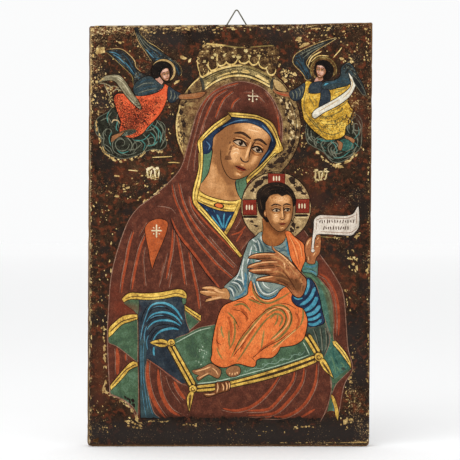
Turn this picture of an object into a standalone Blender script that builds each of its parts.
"""Icon panel: a painted wooden board with incised outlines, hung by a bent wire on its back.

Metres, +Z up, front facing -Y. The origin is at the inside of the hanger wire's bend.
"""

import math

import bmesh
import bpy
from mathutils import Matrix, Vector

# Board
PANEL_WIDTH = 0.282          # along the lower edge
PANEL_HEIGHT = 0.4205        # at its left side
PANEL_THICKNESS = 0.020
TOP_SPREAD = 0.0016          # the upper edge is this much wider than the lower one
TOP_SHIFT = 0.0027           # and its middle lies this far to the right
TOP_RISE = 0.0038            # the upper edge climbs this much to the right
TOP_BEND = 0.0130            # from this far left of the board's middle
EDGE_ROUND = 0.0014          # worn edges round the front and the back
TOP_CORNER_ROUND = 0.0020
FOOT_CORNER_ROUND = 0.0042
CORNER_SEGMENTS = 3
EDGE_SEGMENTS = 2
EDGE_ANGLE = math.radians(45)    # only edges sharper than this are rounded

# Incised drawing
GROOVE_DEPTH = 0.0008
GROOVE_STEPS = 2             # straight steps between two points of a line

# Hanger
WIRE_DIAMETER = 0.0014
WIRE_BEND_RADIUS = 0.0010    # inside of the bend that the wall hook takes
WIRE_LEG_ANGLE = math.radians(31.0)
WIRE_ABOVE_PANEL = 0.0174    # from the inside of the bend down to the board's upper left corner
WIRE_EYE_RADIUS = 0.0014     # inside of each end's eye
WIRE_EYE_TURN = math.radians(262.0)
WIRE_EYE_STEPS = 10
WIRE_BEND_STEPS = 6
EYE_BELOW_EDGE = 0.0115      # the eyes' centres lie this far under the upper edge
HANGER_OFF_CENTRE = 0.0085   # the wire is this far right of the board's middle

# Nails
NAIL_SHANK_DIAMETER = 0.0016
NAIL_HEAD_DIAMETER = 0.0052
NAIL_HEAD_THICKNESS = 0.0009
NAIL_LENGTH = 0.012          # in the wood
NAIL_POINT = 0.0016
NAIL_SIDES = 16
FIT_GAP = 0.0003             # between pieces that touch

# Places that follow from the sizes
WIRE_RADIUS = WIRE_DIAMETER / 2
PANEL_BACK = -WIRE_RADIUS - FIT_GAP
PANEL_FRONT = PANEL_BACK - PANEL_THICKNESS
PANEL_TOP = -WIRE_ABOVE_PANEL
PANEL_FOOT = PANEL_TOP - PANEL_HEIGHT
PANEL_LEFT = -HANGER_OFF_CENTRE - PANEL_WIDTH / 2

# Full-size drawing: points are millimetres across and down on a square sheet.
# The board covers this part of the sheet, so each point is a share of the board's width and height.
SHEET_LEFT = 87.2
SHEET_FOOT = 446.4
SHEET_WIDTH = 282.0
SHEET_HEIGHT = 420.5

WOOD = ("Aged painted wood", (0.055, 0.030, 0.022, 1.0), 0.55, 0.0)
STEEL = ("Dull steel wire", (0.42, 0.40, 0.37, 1.0), 0.38, 0.9)
NAIL_STEEL = ("Nail steel", (0.30, 0.27, 0.24, 1.0), 0.50, 0.85)


def clear_scene():
    for item in list(bpy.data.objects):
        bpy.data.objects.remove(item, do_unlink=True)


def new_collection(name):
    group = bpy.data.collections.new(name)
    bpy.context.scene.collection.children.link(group)
    return group


def new_material(look):
    name, colour, roughness, metallic = look
    material = bpy.data.materials.new(name)
    material.use_nodes = True
    shader = material.node_tree.nodes["Principled BSDF"]
    shader.inputs["Base Color"].default_value = colour
    shader.inputs["Roughness"].default_value = roughness
    shader.inputs["Metallic"].default_value = metallic
    return material


def mesh_object(name, shape, group):
    """Turn a bmesh into an object of the group."""
    mesh = bpy.data.meshes.new(name)
    shape.to_mesh(mesh)
    shape.free()
    item = bpy.data.objects.new(name, mesh)
    group.objects.link(item)
    return item


def as_cutter(item):
    item.hide_render = True
    item.display_type = "WIRE"


def curve_as_mesh(curve_object, name, group):
    """Replace a bevelled curve by a closed mesh that a Boolean can take."""
    bpy.context.view_layer.update()
    seen = curve_object.evaluated_get(bpy.context.evaluated_depsgraph_get())
    mesh = bpy.data.meshes.new_from_object(seen)
    shape = bmesh.new()
    shape.from_mesh(mesh)
    bmesh.ops.remove_doubles(shape, verts=shape.verts, dist=0.00001)
    bmesh.ops.recalc_face_normals(shape, faces=shape.faces)
    shape.to_mesh(mesh)
    shape.free()
    item = bpy.data.objects.new(name, mesh)
    item.matrix_world = curve_object.matrix_world.copy()
    group.objects.link(item)
    bpy.data.objects.remove(curve_object, do_unlink=True)
    return item


def on_board(across, down):
    """A point of the drawing in the board's own plane: right and up, in metres."""
    right = PANEL_LEFT + (across - SHEET_LEFT) / SHEET_WIDTH * PANEL_WIDTH
    up = PANEL_FOOT + (SHEET_FOOT - down) / SHEET_HEIGHT * PANEL_HEIGHT
    return right, up


def round_line(centre, radius, start, end, count):
    """Points of an arc on the drawing, by degrees clockwise from the right."""
    points = []
    for step in range(count):
        turn = math.radians(start + (end - start) * step / (count - 1))
        points.append((centre[0] + radius * math.cos(turn), centre[1] + radius * math.sin(turn)))
    return points


def scallop_row(start, end, bow, count, height):
    """A row of hanging loops along a shallow arch."""
    points = []
    for step in range(2 * count + 1):
        share = step / (2 * count)
        across = start[0] + (end[0] - start[0]) * share
        down = start[1] + (end[1] - start[1]) * share - bow * math.sin(math.pi * share)
        points.append((across, down + (height if step % 2 else 0.0)))
    return points


def fan(first, last, count):
    """Lines spread evenly between two lines that have as many points each."""
    lines = []
    for step in range(count):
        share = step / (count - 1)
        lines.append([
            (a[0] + (b[0] - a[0]) * share, a[1] + (b[1] - a[1]) * share)
            for a, b in zip(first, last)
        ])
    return lines


# The mother: mantle, hood, collar and crown
MANTLE_LEFT = [
    (237, 81.5), (213, 91.5), (198, 111), (188.5, 143), (179.5, 170), (156.5, 193.5),
    (136.5, 209.5), (124.5, 230), (112, 272), (108, 318), (107.5, 346), (109.5, 388),
]
HOOD_RIGHT = [(242, 81.5), (258, 85.5), (271, 96), (281, 116), (284.5, 141)]
MANTLE_RIGHT = [
    (321, 256), (333, 273), (343, 293), (346, 322), (348, 348), (352.5, 369),
    (344, 386), (341, 410),
]
HOOD_EDGE = [
    (241, 257), (227.4, 239.4), (210.6, 218), (195, 203), (197.8, 183), (200.7, 157), (199, 141),
    (213, 127), (229, 117),
]
HOOD_EDGE_TOP = [(229, 113), (243.6, 113), (260, 116), (272, 122), (277.5, 138), (283.5, 150.5)]
HOOD_EDGE_TURN = [(283, 152.5), (273, 154.5), (262.7, 166), (249, 179)]
VEIL = [
    (203, 206), (203, 186), (205, 160), (204, 146), (218, 130), (233, 121), (256, 119), (269, 127),
    (273, 141), (264, 158), (252, 170), (240, 181),
]
COLLAR_UPPER = [(199, 195), (216, 201), (238, 201)]
COLLAR_LOWER = [(198, 203), (214, 210), (234, 210)]
COLLAR_POINT = [(236, 210), (230, 223), (222, 234)]
CROWN_FOOT = round_line((237, 139), 63, -124, -58, 6)
CROWN_BAND = round_line((237, 148), 83, -115, -64, 6)
CROWN_SIDES = [[(205, 91), (200, 78)], [(269, 88), (273.5, 77)]]
CROWN_LOOPS = scallop_row((199, 69.5), (275.5, 70), 10, 8, 5)
HALO_LEFT = round_line((238, 126), 63, 212, 150, 7)
HALO_RIGHT = round_line((238, 126), 63, -46, 46, 9)
HALO_RIGHT_INNER = round_line((238, 126), 59, -38, 40, 7)

# Her hands, sleeves and lining
CUFF = [(121, 300), (130, 294), (150, 294.5), (176, 289.5), (186, 296), (182, 300)]
CUFF_LOWER = [(122, 302), (136, 300.5), (158, 300), (176, 296), (182, 300)]
SLEEVE_LEFT = [(138.5, 302), (138.5, 360), (139, 416)]
SLEEVE_RIGHT = [(183, 303), (186, 318), (189, 329), (199, 320), (186, 305)]
SLEEVE_FOLDS = fan(
    [(146, 312), (163, 303.5), (181, 312)],
    [(151, 345), (170, 331), (186, 330)],
    4,
)
SECOND_BAND = [(137, 315), (121, 317), (110, 328), (108, 338), (123, 328), (137, 321)]
LINING_SECOND = [(109, 344), (122, 352), (137, 363)]
THIRD_BAND = [(137, 362), (123, 369), (110, 388), (120, 380), (137, 369)]
LINING_THIRD = [(110, 394), (126, 402), (137, 418)]
LAP_LEFT = [(146.5, 361), (167, 373), (186, 387)]
LAP_SIDE = [(146.5, 362), (148, 384), (158, 417)]
SLEEVE_CROSS = [(309, 280), (320, 296), (325, 324), (314, 326), (306, 324)]
SLEEVE_BANDS = fan(
    [(309, 291), (315, 286), (317, 290)],
    [(308, 322), (316, 320), (324, 316)],
    4,
)
LINING_RIGHT = [(303, 273), (318, 277), (331, 300), (334, 338), (345, 352), (352, 367), (333, 384), (331, 394)]
LINING_RIGHT_INNER = [(310, 280), (321, 298), (326, 320), (331, 342)]
BAND_RIGHT = [(333, 342), (342, 348), (351, 362)]
HER_HAND = [
    (258, 282), (276, 286), (294, 294), (302, 297), (306, 281), (295, 262), (281, 251), (272, 247),
]
HER_FINGERS = fan(
    [(248, 258), (262, 254), (280, 258)],
    [(256, 281), (268, 277), (284, 277)],
    3,
)
GRIP = [[(215, 392), (221, 395), (230, 391)], [(217, 382), (217, 389), (215, 396)], [(225, 381), (224, 388), (222, 394)]]

# Folds of the mantle
HOOD_FOLDS = fan(
    [(231, 87), (214, 100), (204, 122), (198, 140)],
    [(243, 90), (234, 96), (229, 106), (228, 112)],
    3,
)
SHOULDER_FOLDS = fan(
    [(190, 150), (184, 186), (172, 205), (171, 225)],
    [(195, 160), (193, 196), (204, 222), (239, 266)],
    3,
)
BREAST_FOLDS = fan(
    [(140, 232), (128, 262), (122, 288), (119, 294)],
    [(150, 262), (143, 278), (142, 288), (142, 294)],
    2,
)
WAIST_FOLDS = fan(
    [(181, 233), (179, 250), (184, 268), (184, 286)],
    [(187, 236), (197, 258), (214, 280), (222, 290)],
    3,
)
LAP_FOLDS = fan(
    [(152, 368), (158, 388), (166, 404), (172, 416)],
    [(170, 377), (176, 394), (186, 408), (196, 417)],
    3,
)
KNEE_FOLDS = fan(
    [(278, 379), (268, 396), (252, 406), (232, 410)],
    [(319, 364), (313, 390), (298, 408), (276, 417)],
    4,
)
RIGHT_FOLDS = fan(
    [(322, 270), (336, 292), (340, 318), (341, 340)],
    [(321, 259), (336, 280), (343, 305), (345, 335)],
    2,
)

# The child
CHILD_HALO = round_line((276, 207), 35, 150, 382, 14)
CHILD_HALO_INNER = round_line((276, 207), 31, 196, 350, 9)
CHILD_HEAD = [(264, 226), (259, 214), (257, 202), (262, 190), (273, 183.5), (286, 184), (296, 193), (298, 206)]
CHILD_CHIN = [(296, 212), (294, 226), (285, 233), (274, 226), (268, 216), (268, 205)]
CHILD_ARM = [(262, 238), (250, 245), (243, 255), (233, 272), (224, 286), (228, 299), (246, 294), (256, 284)]
TUNIC_HEM = [(257, 262), (254, 280), (262, 293), (277, 298), (288, 290)]
SHOULDER_CLOTH = [(285, 232), (300, 240), (305, 256), (301, 271), (291, 258), (287, 240)]
ROBE_LEFT = [
    (251, 281), (246.6, 295), (226, 304), (217, 319), (212, 340), (211.4, 358), (220, 367),
    (237.4, 364), (251, 367), (261, 358), (272, 357),
]
ROBE_RIGHT = [(293, 290.5), (303, 306), (307.5, 320), (302, 338), (285, 347), (272, 357)]
KNEE_RINGS = fan(
    [(232, 350), (248, 322), (272, 305), (288, 312), (280, 332), (256, 352)],
    [(244, 350), (258, 328), (272, 313), (280, 318), (272, 332), (258, 346)],
    2,
)
THIGH_FOLD = [(228, 344), (224, 326), (232, 310), (244, 312)]
FEET = [[(192, 371), (206, 365), (220, 368), (220, 376), (206, 380), (193, 373)], [(227, 366), (226, 374), (234, 378), (240, 366)]]
HAND_LEFT = [(200, 289), (212, 291), (224, 294), (229, 299), (216, 299), (203, 301)]
HAND_RIGHT = [(306, 260), (307, 246), (317, 230), (320, 244), (315, 260), (317, 274), (305, 274)]
SCROLL = [(316, 216), (334, 214), (351, 214), (359, 207), (359.5, 226), (352, 235), (334, 233), (319, 233), (313, 229)]

# The cushion
CUSHION_LEFT = fan([(170, 347), (182, 367), (192, 389)], [(175, 344), (187, 364), (197, 384)], 2)
CUSHION_FOOT = fan([(195, 392), (256, 377), (319, 361)], [(199, 385), (256, 372), (315, 355)], 2)
CUSHION_RIGHT = fan([(303, 336), (310, 346), (317, 357)], [(307, 333), (314, 343), (321, 354)], 2)
CUSHION_BACK = [(177, 341), (196, 332), (214, 326)]
TASSELS = [[(170, 345), (160, 341), (151, 343), (160, 347)], [(190, 393), (187, 402), (189, 411), (193, 396)],
           [(320, 358), (328, 364), (332, 377), (323, 370)]]

# The two angels
ANGEL_LEFT = [
    [(134, 30), (138, 41), (145, 52), (152, 60)],
    [(140, 34), (150, 42), (168, 54), (180, 65), (181, 76)],
    [(105, 51), (113, 50), (124, 50), (134, 60), (138, 71), (145, 77)],
    [(114, 59), (123, 67), (131, 74), (134, 85)],
    round_line((163.4, 71), 12.5, 120, 400, 11),
    [(153, 79), (141, 78), (133, 87), (140, 96), (152, 93), (166, 84)],
    [(167, 84), (156, 92), (140, 97), (114, 95), (115, 107), (121, 118), (120, 131), (131, 138), (142, 134),
     (156, 121), (164, 103), (168, 88)],
    [(170, 88), (180, 93), (190, 93), (202, 91)],
    [(168, 101), (178, 99), (190, 99), (203, 96)],
    [(98, 82), (111, 76), (121, 79), (134, 98), (140, 106), (139, 110), (126, 98), (116, 83), (109, 81)],
    [(104, 139), (107, 153), (118, 158), (130, 155), (146, 148), (163, 148), (166, 140), (163, 120)],
    round_line((122, 143), 8, 0, 300, 8),
    round_line((146, 137), 8, 0, 300, 8),
]
ANGEL_RIGHT = [
    [(336, 38), (316, 44), (296, 53), (293, 61), (301, 72), (307, 79)],
    [(348, 64), (358, 75), (363, 86), (366, 96)],
    [(329, 84), (340, 78), (341, 68), (348, 64)],
    round_line((322.7, 70), 13, 130, 405, 11),
    [(309, 82), (302, 101), (301, 111), (305, 121), (314, 131), (325, 139), (336, 139), (346, 132),
     (352, 120), (349, 102)],
    [(321, 84), (322, 100), (329, 106), (331, 92), (345, 86)],
    [(350, 72), (355, 85), (348, 94), (334, 103), (314, 115), (312, 109), (330, 100), (344, 88), (350, 74)],
    [(304, 82), (292, 86), (280, 90), (272, 88)],
    [(302, 98), (290, 97), (279, 96)],
    [(307, 128), (313, 146), (326, 158), (340, 161), (353, 153), (361, 138), (362, 124)],
    round_line((323, 145), 8, 0, 300, 8),
    round_line((352, 128), 8, 90, 390, 8),
]


def drawing_lines():
    """Every incised line, as points of the drawing."""
    single = [
        MANTLE_LEFT, HOOD_RIGHT, MANTLE_RIGHT, HOOD_EDGE, HOOD_EDGE_TOP, HOOD_EDGE_TURN, VEIL,
        COLLAR_UPPER, COLLAR_LOWER, COLLAR_POINT, CROWN_FOOT, CROWN_BAND, CROWN_LOOPS, HALO_LEFT,
        HALO_RIGHT, HALO_RIGHT_INNER, CUFF, CUFF_LOWER, SLEEVE_LEFT, SLEEVE_RIGHT, SECOND_BAND,
        LINING_SECOND, THIRD_BAND, LINING_THIRD, LAP_LEFT, LAP_SIDE, SLEEVE_CROSS, LINING_RIGHT,
        LINING_RIGHT_INNER, BAND_RIGHT, HER_HAND, CHILD_HALO, CHILD_HALO_INNER, CHILD_HEAD,
        CHILD_CHIN, CHILD_ARM, TUNIC_HEM, SHOULDER_CLOTH, ROBE_LEFT, ROBE_RIGHT, THIGH_FOLD,
        HAND_LEFT, HAND_RIGHT, SCROLL, CUSHION_BACK,
    ]
    families = [
        CROWN_SIDES, SLEEVE_FOLDS, SLEEVE_BANDS, HER_FINGERS, GRIP, HOOD_FOLDS, SHOULDER_FOLDS,
        BREAST_FOLDS, WAIST_FOLDS, LAP_FOLDS, KNEE_FOLDS, RIGHT_FOLDS, KNEE_RINGS, FEET,
        CUSHION_LEFT, CUSHION_FOOT, CUSHION_RIGHT, TASSELS, ANGEL_LEFT, ANGEL_RIGHT,
    ]
    return single + [line for family in families for line in family]


def groove_cutter(name, points, group):
    """A four-sided rod along a smooth line, whose lower half cuts a V into the board's front."""
    curve = bpy.data.curves.new(name, "CURVE")
    curve.dimensions = "3D"
    curve.twist_mode = "Z_UP"
    curve.bevel_depth = GROOVE_DEPTH
    curve.bevel_resolution = 0
    curve.use_fill_caps = True
    curve.resolution_u = GROOVE_STEPS
    spline = curve.splines.new("BEZIER")
    spline.bezier_points.add(len(points) - 1)
    for knot, (across, down) in zip(spline.bezier_points, points):
        knot.co = (*on_board(across, down), 0.0)
        knot.handle_left_type = "AUTO"
        knot.handle_right_type = "AUTO"
    item = bpy.data.objects.new(name, curve)
    item.rotation_euler = (math.radians(90), 0.0, 0.0)
    item.location = (0.0, PANEL_FRONT, 0.0)
    group.objects.link(item)
    cutter = curve_as_mesh(item, name, group)
    as_cutter(cutter)
    return cutter


def hanger_path():
    """Centre line of the wire, from the left eye over the bend to the right eye, as (x, z)."""
    bend = WIRE_BEND_RADIUS + WIRE_RADIUS
    bend_centre = Vector((0.0, -WIRE_BEND_RADIUS))
    swing = math.radians(90) - WIRE_LEG_ANGLE
    right_bend = []
    for step in range(WIRE_BEND_STEPS + 1):
        turn = swing * step / WIRE_BEND_STEPS
        right_bend.append(bend_centre + bend * Vector((math.sin(turn), math.cos(turn))))
    along = Vector((math.sin(WIRE_LEG_ANGLE), -math.cos(WIRE_LEG_ANGLE)))
    inward = Vector((-math.cos(WIRE_LEG_ANGLE), -math.sin(WIRE_LEG_ANGLE)))
    eye = WIRE_EYE_RADIUS + WIRE_RADIUS
    eye_height = PANEL_TOP - EYE_BELOW_EDGE
    leg = (right_bend[-1].y + inward.y * eye - eye_height) / math.cos(WIRE_LEG_ANGLE)
    leg_end = right_bend[-1] + along * leg
    eye_centre = leg_end + inward * eye
    right_eye = []
    for step in range(WIRE_EYE_STEPS + 1):
        turn = -WIRE_EYE_TURN * step / WIRE_EYE_STEPS
        right_eye.append(eye_centre + Matrix.Rotation(turn, 2) @ (leg_end - eye_centre))
    right_half = right_bend + right_eye
    left_half = [Vector((-point.x, point.y)) for point in reversed(right_half[1:])]
    return left_half + right_half, eye_centre


def make_board(group):
    """The board: four slightly out-of-square corners, rounded, with worn edges."""
    shape = bmesh.new()
    bmesh.ops.create_cube(shape, size=1.0)
    for corner in shape.verts:
        right, top = corner.co.x > 0, corner.co.z > 0
        side = PANEL_WIDTH / 2 + (TOP_SPREAD / 2 if top else 0.0)
        shift = TOP_SHIFT if top else 0.0
        rise = TOP_RISE if top and right else 0.0
        corner.co.x = -HANGER_OFF_CENTRE + shift + (side if right else -side)
        corner.co.y = PANEL_BACK if corner.co.y > 0 else PANEL_FRONT
        corner.co.z = (PANEL_TOP if top else PANEL_FOOT) + rise
    bend = -HANGER_OFF_CENTRE - TOP_BEND
    everything = shape.verts[:] + shape.edges[:] + shape.faces[:]
    bmesh.ops.bisect_plane(shape, geom=everything, plane_co=(bend, 0.0, 0.0), plane_no=(1.0, 0.0, 0.0))
    for point in shape.verts:
        if abs(point.co.x - bend) < FIT_GAP and point.co.z > PANEL_TOP - FIT_GAP:
            point.co.z = PANEL_TOP
    shape.normal_update()
    for radius, top in ((TOP_CORNER_ROUND, True), (FOOT_CORNER_ROUND, False)):
        uprights = []
        for edge in shape.edges:
            first, last = (vert.co for vert in edge.verts)
            crosses = abs(first.y - last.y) > PANEL_THICKNESS / 2
            bent = abs(first.x - bend) < FIT_GAP
            level = (first.z + last.z) / 2 > (PANEL_TOP + PANEL_FOOT) / 2
            if crosses and not bent and level == top:
                uprights.append(edge)
        bmesh.ops.bevel(
            shape, geom=uprights, offset=radius, offset_type="OFFSET", affect="EDGES",
            segments=CORNER_SEGMENTS, profile=0.5, material=-1,
        )
    shape.normal_update()
    rim = [
        edge for edge in shape.edges
        if abs(edge.verts[0].co.y - edge.verts[1].co.y) < FIT_GAP
        and edge.calc_face_angle(0.0) > EDGE_ANGLE
    ]
    bmesh.ops.bevel(
        shape, geom=rim, offset=EDGE_ROUND, offset_type="OFFSET", affect="EDGES",
        segments=EDGE_SEGMENTS, profile=0.5, material=-1,
    )
    board = mesh_object("panel", shape, group)
    board.data.materials.append(new_material(WOOD))
    return board


def make_wire(path, group):
    curve = bpy.data.curves.new("hanger_wire", "CURVE")
    curve.dimensions = "3D"
    curve.bevel_depth = WIRE_RADIUS
    curve.bevel_resolution = 2
    curve.use_fill_caps = True
    spline = curve.splines.new("POLY")
    spline.points.add(len(path) - 1)
    for knot, point in zip(spline.points, path):
        knot.co = (point.x, 0.0, point.y, 1.0)
    wire = bpy.data.objects.new("hanger_wire", curve)
    wire.data.materials.append(new_material(STEEL))
    group.objects.link(wire)
    return wire


def make_nail(name, place, material, group):
    """A flat-headed nail, turned about its own axis, with its head to the back."""
    shank = NAIL_SHANK_DIAMETER / 2
    head = NAIL_HEAD_DIAMETER / 2
    underside = WIRE_RADIUS + FIT_GAP
    crown = underside + NAIL_HEAD_THICKNESS
    tip = PANEL_BACK - NAIL_LENGTH
    profile = [
        (0.0, crown), (head * 0.7, crown), (head, crown - NAIL_HEAD_THICKNESS * 0.4), (head, underside),
        (shank, underside), (shank, tip + NAIL_POINT), (0.0, tip),
    ]
    shape = bmesh.new()
    points = [shape.verts.new((radius, 0.0, height)) for radius, height in profile]
    for first, last in zip(points, points[1:]):
        shape.edges.new((first, last))
    nail = mesh_object(name, shape, group)
    turn = nail.modifiers.new("Turned", "SCREW")
    turn.steps = NAIL_SIDES
    turn.render_steps = NAIL_SIDES
    turn.use_merge_vertices = True
    turn.merge_threshold = 0.00001
    nail.rotation_euler = (math.radians(-90), 0.0, 0.0)
    nail.location = (place.x, 0.0, place.y)
    nail.data.materials.append(material)
    return nail


def nail_hole(name, place, group):
    """A blind hole for one nail, open at the board's back."""
    depth = NAIL_LENGTH + 2 * FIT_GAP
    shape = bmesh.new()
    bmesh.ops.create_cone(
        shape, cap_ends=True, segments=NAIL_SIDES, radius1=NAIL_SHANK_DIAMETER / 2 + FIT_GAP,
        radius2=NAIL_SHANK_DIAMETER / 2 + FIT_GAP, depth=2 * depth,
    )
    cutter = mesh_object(name, shape, group)
    cutter.rotation_euler = (math.radians(-90), 0.0, 0.0)
    cutter.location = (place.x, PANEL_BACK, place.y)
    as_cutter(cutter)
    return cutter


def main():
    clear_scene()
    parts = new_collection("icon_panel")
    cutters = new_collection("cutters")
    board = make_board(parts)
    path, right_eye = hanger_path()
    make_wire(path, parts)
    nail_steel = new_material(NAIL_STEEL)
    left_eye = Vector((-right_eye.x, right_eye.y))
    for side, place in (("left", left_eye), ("right", right_eye)):
        make_nail("hanger_nail_" + side, place, nail_steel, parts)
        nail_hole("nail_hole_" + side, place, cutters)
    for number, line in enumerate(drawing_lines()):
        groove_cutter("groove_" + str(number), line, cutters)
    carving = board.modifiers.new("Incised lines and nail holes", "BOOLEAN")
    carving.operation = "DIFFERENCE"
    carving.operand_type = "COLLECTION"
    carving.collection = cutters
    carving.solver = "EXACT"
    carving.use_self = True


main()
